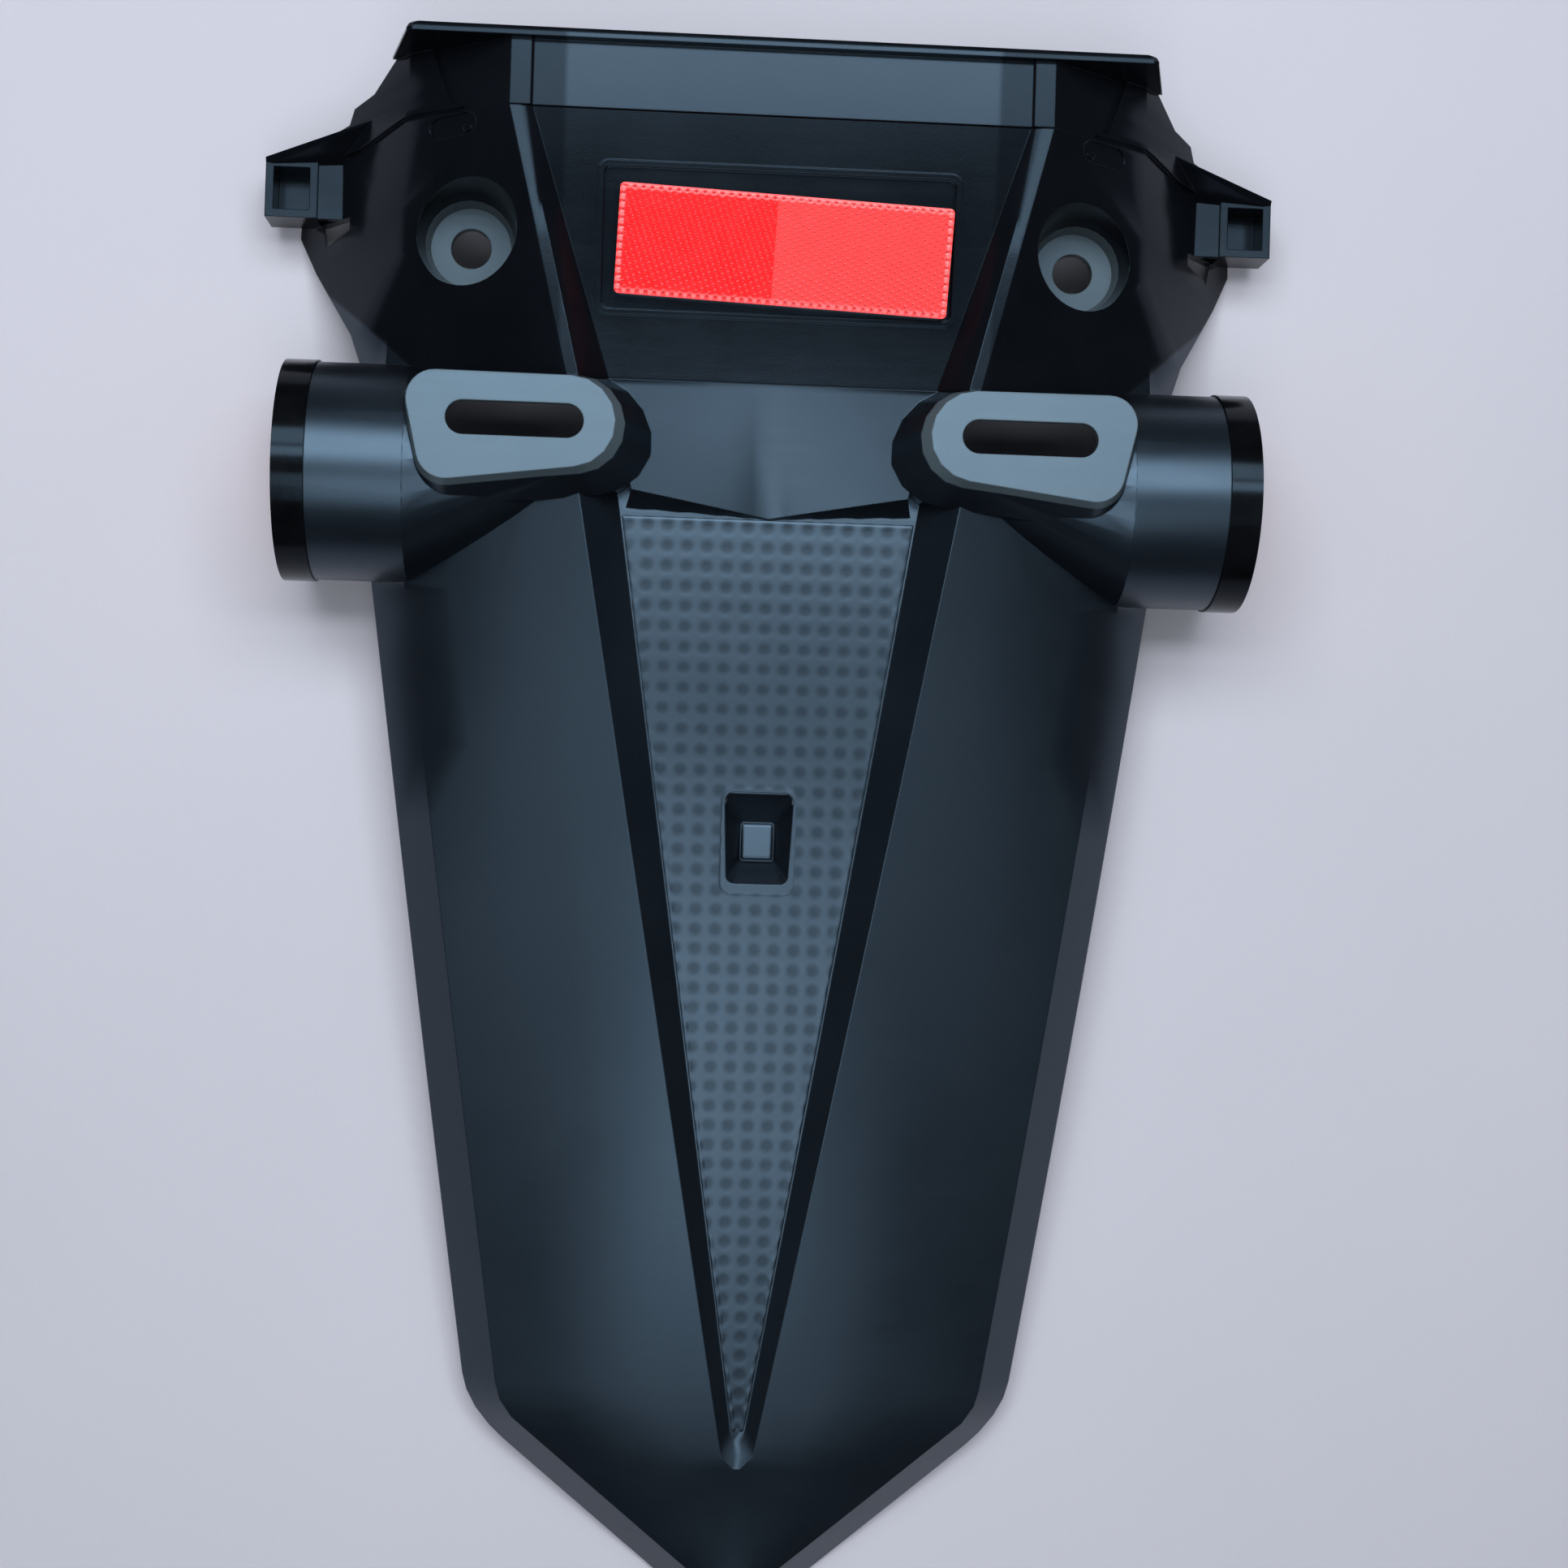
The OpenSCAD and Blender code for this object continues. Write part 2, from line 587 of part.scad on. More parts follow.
// Rear reflector: a red lens, moulded as a shallow tray, over a backing that holds the stud
backing_t = reflector_t - 3;
lens_wall = 1.5;
head_t = 1.2;
module rear_lens() {
    color([0.85, 0.05, 0.04]) in_frame() on_reflector() difference() {
        rounded_plate([reflector_len, reflector_h], 1.2, reflector_t);
        translate([0, 0, -1])
            rounded_plate([reflector_len - 2 * lens_wall, reflector_h - 2 * lens_wall], 0.6, backing_t + 1);
    }
}
module rear_backing() {
    color([0.08, 0.08, 0.08]) in_frame() on_reflector() difference() {
        rounded_plate([reflector_len - 2 * lens_wall - 2 * fit_clear,
            reflector_h - 2 * lens_wall - 2 * fit_clear], 0.6, backing_t);
        stud(backing_t - 1);
    }
}

// Stud with its round head at the top, standing on z = top and pointing down
module stud(top) {
    reach = recess_depth + wall + washer_t + nut_t + 3 + 2;
    translate([0, 0, top - head_t]) cylinder(h = head_t, d = 2 * stud_d);
    translate([0, 0, top - reach]) cylinder(h = reach - head_t, d = stud_d);
}
module washer() {
    difference() {
        cylinder(h = washer_t, d = washer_d);
        translate([0, 0, -1]) cylinder(h = washer_t + 2, d = stud_d + 4 * fit_clear);
    }
}
module nut() {
    difference() {
        cylinder(h = nut_t, d = nut_af / cos(30), $fn = 6);
        translate([0, 0, -1]) cylinder(h = nut_t + 2, d = stud_d + 2 * fit_clear);
    }
}
module rear_stud() {
    color([0.7, 0.7, 0.72]) in_frame() on_reflector() stud(backing_t - 1);
}
module rear_washer() {
    color([0.75, 0.75, 0.77]) in_frame() on_reflector() translate([0, 0, -wall - washer_t]) washer();
}
module rear_nut() {
    color([0.7, 0.7, 0.72]) in_frame() on_reflector() translate([0, 0, -wall - washer_t - nut_t]) nut();
}

// Side reflector: its middle on the outer face of a pod, with z pointing outwards
module on_pod(side) {
    translate([side * side_floor_x, pod_y, pod_z]) rotate([0, side * 90, 0]) children();
}
housing_floor = 2;
housing_wall = 2;
module side_housing(side) {
    color([0.05, 0.05, 0.06]) in_frame() on_pod(side) difference() {
        cylinder(h = side_depth, d = side_d);
        translate([0, 0, housing_floor + 1]) cylinder(h = side_depth, d = side_d - 2 * housing_wall);
        translate([0, 0, housing_floor]) stud(0);
    }
}
module side_lens(side) {
    lens_d = side_d - 2 * housing_wall - 2 * fit_clear;
    dome_r = (pow(lens_d / 2, 2) + pow(dome_h, 2)) / (2 * dome_h);
    seat = housing_floor + 1;
    color([0.85, 0.35, 0.05]) in_frame() on_pod(side) rotate_extrude() polygon(concat(
        [[0, seat], [lens_d / 2, seat]],
        [for (i = [0:dome_steps]) let (r = lens_d / 2 * (1 - i / dome_steps))
            [r, side_depth + sqrt(pow(dome_r, 2) - pow(r, 2)) - (dome_r - dome_h)]]));
}
module side_stud(side) {
    color([0.7, 0.7, 0.72]) in_frame() on_pod(side) translate([0, 0, housing_floor]) stud(0);
}
module side_washer(side) {
    color([0.75, 0.75, 0.77]) in_frame() on_pod(side) translate([0, 0, -wall - washer_t]) washer();
}
module side_nut(side) {
    color([0.7, 0.7, 0.72]) in_frame() on_pod(side) translate([0, 0, -wall - washer_t - nut_t]) nut();
}

fender();
rear_lens();
rear_backing();
rear_stud();
rear_washer();
rear_nut();
side_lens(-1);  // left_lens
side_housing(-1);  // left_housing
side_stud(-1);  // left_stud
side_washer(-1);  // left_washer
side_nut(-1);  // left_nut
side_lens(1);  // right_lens
side_housing(1);  // right_housing
side_stud(1);  // right_stud
side_washer(1);  // right_washer
side_nut(1);  // right_nut
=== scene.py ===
"""Motorcycle rear fender: its finishes, lenses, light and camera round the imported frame."""

import math

import bmesh
import bpy
import numpy as np
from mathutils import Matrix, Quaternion, Vector


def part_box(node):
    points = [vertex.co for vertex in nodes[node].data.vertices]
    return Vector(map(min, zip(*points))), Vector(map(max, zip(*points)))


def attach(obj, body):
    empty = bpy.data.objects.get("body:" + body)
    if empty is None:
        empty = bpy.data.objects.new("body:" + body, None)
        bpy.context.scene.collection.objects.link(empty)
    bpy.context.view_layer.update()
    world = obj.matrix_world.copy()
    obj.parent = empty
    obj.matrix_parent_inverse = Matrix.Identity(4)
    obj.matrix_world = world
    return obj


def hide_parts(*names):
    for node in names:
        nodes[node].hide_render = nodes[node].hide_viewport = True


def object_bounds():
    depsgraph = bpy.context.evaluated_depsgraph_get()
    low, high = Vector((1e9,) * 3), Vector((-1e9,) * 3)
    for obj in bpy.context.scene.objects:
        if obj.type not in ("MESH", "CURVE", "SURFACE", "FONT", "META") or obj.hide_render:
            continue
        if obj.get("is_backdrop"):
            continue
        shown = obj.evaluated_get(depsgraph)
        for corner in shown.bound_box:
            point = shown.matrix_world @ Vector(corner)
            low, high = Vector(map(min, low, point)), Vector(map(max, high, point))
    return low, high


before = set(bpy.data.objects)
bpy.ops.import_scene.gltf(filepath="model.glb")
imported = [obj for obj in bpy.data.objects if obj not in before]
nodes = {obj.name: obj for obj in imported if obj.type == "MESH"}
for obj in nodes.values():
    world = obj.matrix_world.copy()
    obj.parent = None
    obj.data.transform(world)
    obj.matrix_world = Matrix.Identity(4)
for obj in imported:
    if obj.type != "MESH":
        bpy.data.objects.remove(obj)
low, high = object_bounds()


# Moulded shell
# The fender is one thin moulding in black polypropylene, with slightly rounded edges. The flap and
# the pods have a satin etched skin, the bracket a smoother and blacker one, and the plate pads and
# the seats of the bolts a coarse one. The coarse faces have a rougher skin, and their base colour
# is painted pale blue-grey as a painted sheen of the light they catch.
MM = 0.001
SHELL_DARK = (0.0022, 0.0028, 0.0040)
SHELL_PALE = (0.0042, 0.0052, 0.0070)
SHEEN_TINT = (0.50, 0.75, 1.0, 1.0)
# Pale blue-grey base colour of the coarse pads and bolt seats: a painted sheen.
PAD_SHEEN_DARK, PAD_SHEEN_PALE = (0.048, 0.064, 0.072), (0.064, 0.084, 0.094)
FLAP_GLOSS, BRACKET_GLOSS, RAIL_GLOSS, PIT_GLOSS = 0.72, 0.28, 0.14, 0.27
FLAP_ROUGH, BRACKET_ROUGH, PAD_ROUGH = 0.33, 0.16, 0.40
BRACKET_FROM, POD_FROM, POD_SLOPE = 128.0 * MM, 92.0 * MM, 0.9
RAIL_FROM, ZONE_EDGE = 56.0 * MM, 2.0 * MM
PAD_FROM, PAD_TO, PAD_EDGE = 61.0 * MM, 140.0 * MM, 0.5 * MM
SEAT_X, SEAT_Y, SEAT_R = 82.9 * MM, 168.25 * MM, 12.0 * MM
SHELL_EDGE = 0.45 * MM
SMOOTH_BELOW = math.radians(24.0)
WELD = 0.004 * MM


class Finish:
    """A node material, with short calls that add nodes and link them in object coordinates."""

    def __init__(self, name):
        self.material = bpy.data.materials.new(name)
        self.material.use_nodes = True
        self.tree = self.material.node_tree
        self.base = self.tree.nodes["Principled BSDF"]
        self.place = self.add("ShaderNodeTexCoord").outputs["Object"]

    def add(self, kind, **values):
        made = self.tree.nodes.new(kind)
        for key, value in values.items():
            if hasattr(made, key):
                setattr(made, key, value)
            else:
                made.inputs[key.replace("_", " ")].default_value = value
        return made

    def link(self, source, target):
        self.tree.links.new(source, target)

    def feed(self, socket, source):
        self.link(source, self.base.inputs[socket])

    def set(self, **values):
        for key, value in values.items():
            self.base.inputs[key.replace("_", " ")].default_value = value

    def noise(self, scale, detail=3.0, stretch=None):
        made = self.add("ShaderNodeTexNoise", Scale=scale, Detail=detail, Roughness=0.55)
        source = self.place
        if stretch:
            turned = self.add("ShaderNodeMapping", Scale=stretch)
            self.link(source, turned.inputs["Vector"])
            source = turned.outputs["Vector"]
        self.link(source, made.inputs["Vector"])
        return made.outputs["Fac"]

    def ramp(self, source, stops):
        made = self.add("ShaderNodeValToRGB")
        for element, (place, color) in zip(made.color_ramp.elements, stops):
            element.position = place
            element.color = (*color, 1.0)
        self.link(source, made.inputs["Fac"])
        return made.outputs["Color"]

    def math(self, operation, a, b):
        made = self.add("ShaderNodeMath", operation=operation)
        for socket, value in zip(made.inputs, (a, b)):
            if isinstance(value, (int, float)):
                socket.default_value = value
            else:
                self.link(value, socket)
        return made.outputs[0]

    def about(self, middle, *parts):
        """The middle value plus each (pattern, swing); a pattern runs from 0 to 1 about 0.5."""
        total = middle - sum(swing for _, swing in parts) / 2
        for pattern, swing in parts:
            total = self.math("ADD", self.math("MULTIPLY", pattern, swing), total)
        return total

    def rise(self, value, start, width):
        """0 below the start, 1 a width further on, and a soft step between."""
        made = self.add("ShaderNodeMapRange", interpolation_type="SMOOTHSTEP")
        self.link(value, made.inputs["Value"])
        made.inputs["From Min"].default_value = start
        made.inputs["From Max"].default_value = start + width
        return made.outputs["Result"]

    def blend(self, share, below, above):
        """The colour below where the share is 0, and the colour above where it is 1."""
        made = self.add("ShaderNodeMix", data_type="RGBA")
        for socket, source in zip((0, 6, 7), (share, below, above)):
            if isinstance(source, tuple):
                made.inputs[socket].default_value = (*source, 1.0)
            else:
                self.link(source, made.inputs[socket])
        return made.outputs[2]

    def bump(self, height, distance, strength=1.0, under=None):
        made = self.add("ShaderNodeBump", Distance=distance, Strength=strength)
        self.link(height, made.inputs["Height"])
        if under:
            self.link(under, made.inputs["Normal"])
        return made.outputs["Normal"]

    def rounded_edges(self, radius):
        return self.add("ShaderNodeBevel", samples=6, Radius=radius).outputs["Normal"]


def shell_plastic(name, pits=False):
    """Black polypropylene in three finishes: flap, bracket and coarse faces, told apart by place.

    Bracket: y over BRACKET_FROM, moved up beside the pods by POD_SLOPE times |x| past POD_FROM.
    Its rails, |x| over RAIL_FROM, are duller. Coarse: z over PAD_FROM with y under PAD_TO, or
    within SEAT_R of the axis of a mounting hole; these get a pale blue-grey base colour, a painted
    sheen of the light they catch. With pits, the floor of each dimple is less glossy, from the
    attribute "pit" of the sheet.
    """
    f = Finish(name)
    f.set(Specular_Tint=SHEEN_TINT)
    axes = f.add("ShaderNodeSeparateXYZ")
    f.link(f.place, axes.inputs[0])
    x, y, z = axes.outputs
    side = f.math("ABSOLUTE", x, 0.0)
    beside = f.math("MAXIMUM", f.math("SUBTRACT", side, POD_FROM), 0.0)
    moved = f.math("SUBTRACT", y, f.math("MULTIPLY", beside, POD_SLOPE))
    bracket = f.rise(moved, BRACKET_FROM, ZONE_EDGE)
    rail = f.math("MULTIPLY", bracket, f.rise(side, RAIL_FROM, ZONE_EDGE))
    off_x, off_y = f.math("SUBTRACT", side, SEAT_X), f.math("SUBTRACT", y, SEAT_Y)
    off = f.math("ADD", f.math("MULTIPLY", off_x, off_x), f.math("MULTIPLY", off_y, off_y))
    seat = f.math("LESS_THAN", off, SEAT_R ** 2)
    face = f.math("MULTIPLY", f.rise(z, PAD_FROM, PAD_EDGE), f.math("LESS_THAN", y, PAD_TO))
    pad = f.math("MAXIMUM", face, seat)
    mottle = f.noise(26.0, 4.0)
    flow = f.noise(9.0, 3.0, stretch=(6.0, 1.0, 3.0))
    rubs = f.noise(60.0, 5.0, stretch=(1.0, 7.0, 1.0))
    grain = f.noise(1400.0, 2.0)
    black = f.ramp(mottle, [(0.30, SHELL_DARK), (0.72, SHELL_PALE)])
    # Painted sheen: the coarse pads and bolt seats get a pale blue-grey base colour for the light
    # they catch.
    pale = f.ramp(mottle, [(0.30, PAD_SHEEN_DARK), (0.72, PAD_SHEEN_PALE)])
    f.feed("Base Color", f.blend(pad, black, pale))
    rough = f.about(FLAP_ROUGH, (mottle, 0.07), (flow, 0.05), (rubs, 0.06), (grain, 0.05))
    rough = f.math("ADD", rough, f.math("MULTIPLY", bracket, BRACKET_ROUGH - FLAP_ROUGH))
    f.feed("Roughness", f.math("ADD", rough, f.math("MULTIPLY", pad, PAD_ROUGH - FLAP_ROUGH)))
    gloss = f.math("ADD", f.math("MULTIPLY", bracket, BRACKET_GLOSS - FLAP_GLOSS), FLAP_GLOSS)
    gloss = f.math("ADD", gloss, f.math("MULTIPLY", rail, RAIL_GLOSS - BRACKET_GLOSS))
    if pits:
        pit = f.add("ShaderNodeAttribute", attribute_name="pit").outputs["Fac"]
        gloss = f.math("SUBTRACT", gloss, f.math("MULTIPLY", pit, PIT_GLOSS))
    f.feed("Specular IOR Level", gloss)
    skin = f.bump(flow, 0.3 * MM, 0.08, f.rounded_edges(SHELL_EDGE))
    f.feed("Normal", f.bump(grain, 0.04 * MM, 0.18, skin))
    return f.material


def welded_copy(node, name, material):
    """A copy of a node's mesh with its corners merged and its edges sharp above SMOOTH_BELOW."""
    mesh = bpy.data.meshes.new(name)
    bm = bmesh.new()
    bm.from_mesh(nodes[node].data)
    bmesh.ops.remove_doubles(bm, verts=bm.verts, dist=WELD)
    for face in bm.faces:
        face.smooth = True
        face.material_index = 0
    for edge in bm.edges:
        edge.smooth = len(edge.link_faces) == 2 and edge.calc_face_angle() < SMOOTH_BELOW
    bm.to_mesh(mesh)
    bm.free()
    mesh.materials.append(material)
    made = bpy.data.objects.new(name, mesh)
    bpy.context.scene.collection.objects.link(made)
    return made


plastic = shell_plastic("shell_plastic")
shell = welded_copy("fender", "shell", plastic)
even = shell.modifiers.new("even", "WEIGHTED_NORMAL")
even.keep_sharp = True
even.weight = 60
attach(shell, "root")
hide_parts("fender")


# Dotted centre panel
# The sunk panel of the flap is moulded with rows of shallow round dimples and a beaded edge along
# both sides and the top. A small recess in it has a leaning pad on its floor. It is all part of
# the moulding. These sizes are in mm, from the line of the mounting holes.
HOLE_LINE = 168.25
PANEL_TOP, PANEL_END, PANEL_TIP = -72.7, -325.0, -337.4
PANEL_HALF, FLAP_TOP, FLAP_RISE = 40.0, -72.0, 45.5
FLAP_SLOPE, FLAP_CURVE = 0.02, 0.000297
RECESS_MIDDLE, RECESS_HALF, RECESS_CORNER = -159.8, (9.5, 13.5), 2.6
DIMPLE_PITCH, DIMPLE_R, DIMPLE_DEPTH = 5.4, 1.75, 0.06
BEAD_IN, BEAD_H, BEAD_W = 1.0, 0.10, 0.55
SHEET_SINK, SHEET_LIFT, SHEET_WALL = 0.15, 0.02, 0.3
SHEET_STEPS = (112, 396)
RECESS_DEPTH, PAD_HALF, PAD_H, PAD_LEAN = 7.0, (4.5, 5.2), 0.75, 0.085
PAD_STEPS, PAD_CORNER, PAD_SINK = 24, 0.8, 0.2


def soft_step(t):
    """3t^2 - 2t^3 with t held between 0 and 1."""
    t = np.clip(t, 0.0, 1.0)
    return t * t * (3.0 - 2.0 * t)


def grid_quads(across, along):
    """Faces between the points of a grid of (along + 1) rows of (across + 1) points."""
    first = (np.arange(along)[:, None] * (across + 1) + np.arange(across)).ravel()
    return np.stack([first, first + 1, first + across + 2, first + across + 1], axis=1)


def new_piece(name, points, faces, material):
    """A smooth piece from an array of points in metres and a list of faces."""
    mesh = bpy.data.meshes.new(name)
    mesh.from_pydata(points.tolist(), [], faces)
    mesh.polygons.foreach_set("use_smooth", np.ones(len(mesh.polygons), dtype=bool))
    mesh.materials.append(material)
    made = bpy.data.objects.new(name, mesh)
    bpy.context.scene.collection.objects.link(made)
    return made


def recess_gap(x, y):
    """Distance from the mouth of the recess, a rectangle with round corners; below 0 inside."""
    qx = np.abs(x) - (RECESS_HALF[0] - RECESS_CORNER)
    qy = np.abs(y - RECESS_MIDDLE) - (RECESS_HALF[1] - RECESS_CORNER)
    return (np.hypot(np.maximum(qx, 0), np.maximum(qy, 0))
            + np.minimum(np.maximum(qx, qy), 0) - RECESS_CORNER)


def dotted_panel():
    """Sheet over the panel: x = u * half(y), z = flap curve + dimples on a square grid.

    A dimple is 1 - soft_step of the distance to the nearest grid point. A bead is a bell across
    the edge times a wave along it. The sheet dives under the skin at its borders and the recess.
    """
    across, along = SHEET_STEPS
    u, v = np.meshgrid(np.linspace(-1, 1, across + 1), np.linspace(0, 1, along + 1))
    y = PANEL_TOP + (PANEL_END - PANEL_TOP) * v
    half = PANEL_HALF * (y - PANEL_TIP) / (FLAP_TOP - PANEL_TIP) - 0.05
    x = u * half
    fall = FLAP_TOP - y
    skin = FLAP_RISE - FLAP_SLOPE * fall - FLAP_CURVE * fall ** 2
    off_x = x - DIMPLE_PITCH * np.round(x / DIMPLE_PITCH)
    off_y = y - DIMPLE_PITCH * np.round(y / DIMPLE_PITCH)
    relief = DIMPLE_DEPTH * soft_step((np.hypot(off_x, off_y) - 0.45 * DIMPLE_R) / DIMPLE_R)
    side, top, mouth = half - np.abs(x), PANEL_TOP - y, recess_gap(x, y)
    for gap, along_edge in ((side, y), (top, x)):
        wave = soft_step(0.5 + 0.8 * np.cos(2 * np.pi * along_edge / DIMPLE_PITCH))
        relief += BEAD_H * np.exp(-((gap - BEAD_IN) / BEAD_W) ** 2) * wave
    shown = soft_step(side / 0.5) * soft_step(top / 0.5) * soft_step(mouth / 0.7)
    shown *= soft_step((y - PANEL_END) / 1.5)
    pit = shown * (1 - soft_step((np.hypot(off_x, off_y) - 0.5 * DIMPLE_R) / (0.9 * DIMPLE_R)))
    z = skin - SHEET_SINK + (SHEET_SINK + SHEET_LIFT + relief) * shown
    faces = grid_quads(across, along)[:, ::-1]
    keep = (mouth.ravel()[faces] > -0.4).any(axis=1)
    used, faces = np.unique(faces[keep], return_inverse=True)
    points = np.stack([x, y + HOLE_LINE, z], axis=-1).reshape(-1, 3)[used] * MM
    return points, faces.reshape(-1, 4).tolist(), pit.ravel()[used]


def round_corners(x, y, half_x, half_y, corner):
    """Square corners of a grid pulled onto quarter circles: q * max|q| / |q| in each corner."""
    cx = np.clip(x, corner - half_x, half_x - corner)
    cy = np.clip(y, corner - half_y, half_y - corner)
    qx, qy = (x - cx) / corner, (y - cy) / corner
    length = np.maximum(np.hypot(qx, qy), 1e-9)
    pull = np.maximum(np.abs(qx), np.abs(qy)) / length
    return cx + corner * qx * pull, cy + corner * qy * pull


def recess_pad():
    """Pad on the floor of the recess: a plane that leans to the seat end, with soft edges."""
    half_x, half_y = PAD_HALF
    across = np.linspace(-half_x, half_x, PAD_STEPS + 1)
    along = np.linspace(-half_y, half_y, PAD_STEPS + 1)
    x, y = np.meshgrid(across, along)
    shown = soft_step(np.minimum(half_x - np.abs(x), half_y - np.abs(y)) / 0.6)
    fall = FLAP_TOP - RECESS_MIDDLE
    floor = FLAP_RISE - FLAP_SLOPE * fall - FLAP_CURVE * fall ** 2 - RECESS_DEPTH
    z = floor - PAD_SINK + shown * (PAD_SINK + PAD_H - PAD_LEAN * y)
    x, y = round_corners(x, y, half_x, half_y, PAD_CORNER)
    points = np.stack([x, y + RECESS_MIDDLE + HOLE_LINE, z], axis=-1).reshape(-1, 3) * MM
    return points, grid_quads(PAD_STEPS, PAD_STEPS).tolist()


points, faces, pit = dotted_panel()
dotted = new_piece("dotted_panel", points, faces, shell_plastic("dotted_plastic", pits=True))
dotted.data.attributes.new("pit", "FLOAT", "POINT").data.foreach_set("value", pit)
for sheet in (dotted, new_piece("recess_pad", *recess_pad(), plastic)):
    body = sheet.modifiers.new("body", "SOLIDIFY")
    body.thickness = SHEET_WALL * MM
    body.offset = -1.0
    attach(sheet, "root")


# Rear reflector
# A red acrylic tray on a black backing plate, held by one stud through the panel. Its face is in
# two fields of small prisms that lean opposite ways, inside a border of coarse prism teeth. Light
# is painted into its colour: the right half is a paler pink as a painted reflection, the crests of
# the teeth are pale pink as painted highlights, the pits, the notches between teeth and the walls
# of the tray are deep red as painted shade, and the face glows faintly with painted light.
RED_FIELD = (0.95, 0.010, 0.012)
# The paler pink of the right half is a painted reflection of the light its prisms return.
PALE_LIT_PINK = (0.95, 0.044, 0.044)
# The pale pink crests of the border teeth are painted highlights.
TOOTH_GLINT_PINK = (0.96, 0.12, 0.12)
# The deep red of the pits, notches and tray walls is painted shade.
SHADE_RED = (0.050, 0.0005, 0.0010)
FIELD_SPLIT = -0.03
PRISM_STEP, PRISM_ROW, PRISM_LEAN = 2.2, 1.15, math.radians(21.0)
PRISM_R, PRISM_DEPTH, PIT_SHARE, NOTCH_SHARE = 0.55, 0.06, 0.62, 0.7
BORDER, TOOTH_LONG, TOOTH_SHORT, TOOTH_DEPTH = 1.5, 2.3, 2.1, 0.14
TRAY_CORNER, TRAY_WALL, TRAY_FLOOR, TRAY_EDGE = 1.2, 1.5, 3.5, 0.25
FACE_STEPS = (352, 114)


def own_axes(node):
    """Middle and axes of a flat oblong node: the principal directions of its corner points."""
    mesh = nodes[node].data
    points = np.empty(len(mesh.vertices) * 3)
    mesh.vertices.foreach_get("co", points)
    points = np.unique(np.round(points.reshape(-1, 3), 6), axis=0)
    axes = np.linalg.svd(points - points.mean(axis=0), full_matrices=False)[2]
    axes[0] *= np.sign(axes[0, 0])
    axes[2] *= np.sign(axes[2, 2])
    axes[1] = np.cross(axes[2], axes[0])
    along = points @ axes.T
    return (along.min(axis=0) + along.max(axis=0)) / 2 @ axes, axes, np.ptp(along, axis=0) / MM


def prism_relief(x, y, half_x, half_y):
    """Depth of the prisms in mm and three marks for the finish: pit, tooth and field.

    Fields: pits on a lattice whose rows lean down to the right on the left of the split, and up on
    its right. Border: a wave along the nearest edge, with its crests as teeth. The marks are
    painted
    light: the first is painted shade in the pits and notches, the second a painted highlight on
    the crests of the teeth, and the last picks the right half, which is painted paler as a painted
    reflection.
    """
    right = x > FIELD_SPLIT * 2 * half_x
    across = np.where(right, -x, x)
    row = (y * math.cos(PRISM_LEAN) + across * math.sin(PRISM_LEAN)) / PRISM_ROW
    near = np.round(row)
    step = (across * math.cos(PRISM_LEAN) - y * math.sin(PRISM_LEAN)) / PRISM_STEP
    step += 0.5 * (near % 2)
    from_pit = np.hypot((row - near) * PRISM_ROW, (step - np.round(step)) * PRISM_STEP)
    pit = 1 - soft_step(from_pit / PRISM_R - 0.1)
    edge_x, edge_y = half_x - np.abs(x), half_y - np.abs(y)
    level = edge_y < edge_x
    wave = np.where(level, np.cos(2 * np.pi * x / TOOTH_LONG), np.cos(2 * np.pi * y / TOOTH_SHORT))
    gap = np.minimum(edge_x, edge_y)
    border = 1 - soft_step((gap - BORDER + 0.3) / 0.4)
    crest = soft_step(0.62 + wave)
    notch = soft_step(1.5 * (-wave - 0.35)) * soft_step((gap - 0.3) / 0.6)
    rim = soft_step(gap / 0.5)
    depth = (1 - border) * PRISM_DEPTH * pit + border * TOOTH_DEPTH * (1 - crest) * rim
    depth += TRAY_EDGE * (1 - rim)
    # Painted shade: the pits of the prisms and the notches between the teeth are marked to be
    # painted deep red.
    dark = (1 - border) * PIT_SHARE * pit + border * NOTCH_SHARE * notch
    # The second mark paints highlights on the crests of the teeth; the last marks the right half,
    # painted paler.
    return depth, dark, border * crest * (1 - notch), right * 1.0


def reflector_tray():
    """Face grid with round corners and prisms, then rings: wall down, rim in, wall up inside."""
    middle, axes, (length, width, thick) = own_axes("rear_lens")
    half_x, half_y = length / 2, width / 2
    across, along = FACE_STEPS
    x, y = np.meshgrid(np.linspace(-half_x, half_x, across + 1),
                       np.linspace(-half_y, half_y, along + 1))
    depth, pit, tooth_glint, paler_field = prism_relief(x, y, half_x, half_y)
    x, y = round_corners(x, y, half_x, half_y, TRAY_CORNER)
    face = np.stack([x, y, thick / 2 - depth], axis=-1).reshape(-1, 3)
    marks = np.stack([pit, tooth_glint, paler_field, np.ones_like(pit)], axis=-1).reshape(-1, 4)
    index = np.arange(len(face)).reshape(along + 1, across + 1)
    loop = np.concatenate([index[0, :-1], index[:-1, -1], index[-1, :0:-1], index[:0:-1, 0]])
    rings = [loop]
    inner = (1 - TRAY_WALL / half_x, 1 - TRAY_WALL / half_y)
    for scale, z in (((1, 1), 0.0), (inner, 0.0), (inner, TRAY_FLOOR)):
        ring = face[loop] * (*scale, 0) + (0, 0, z - thick / 2)
        rings.append(len(face) + np.arange(len(loop)))
        face = np.concatenate([face, ring])
        # The walls and the floor ring are marked as pits, so they are painted deep red as painted
        # shade.
        marks = np.concatenate([marks, np.tile((1.0, 0.0, 0.0, 1.0), (len(loop), 1))])
    faces = grid_quads(across, along).tolist()
    for upper, lower in zip(rings, rings[1:]):
        faces += np.stack([upper, lower, np.roll(lower, -1), np.roll(upper, -1)], axis=1).tolist()
    faces.append(rings[-1].tolist())
    return middle + face * MM @ axes, faces, marks


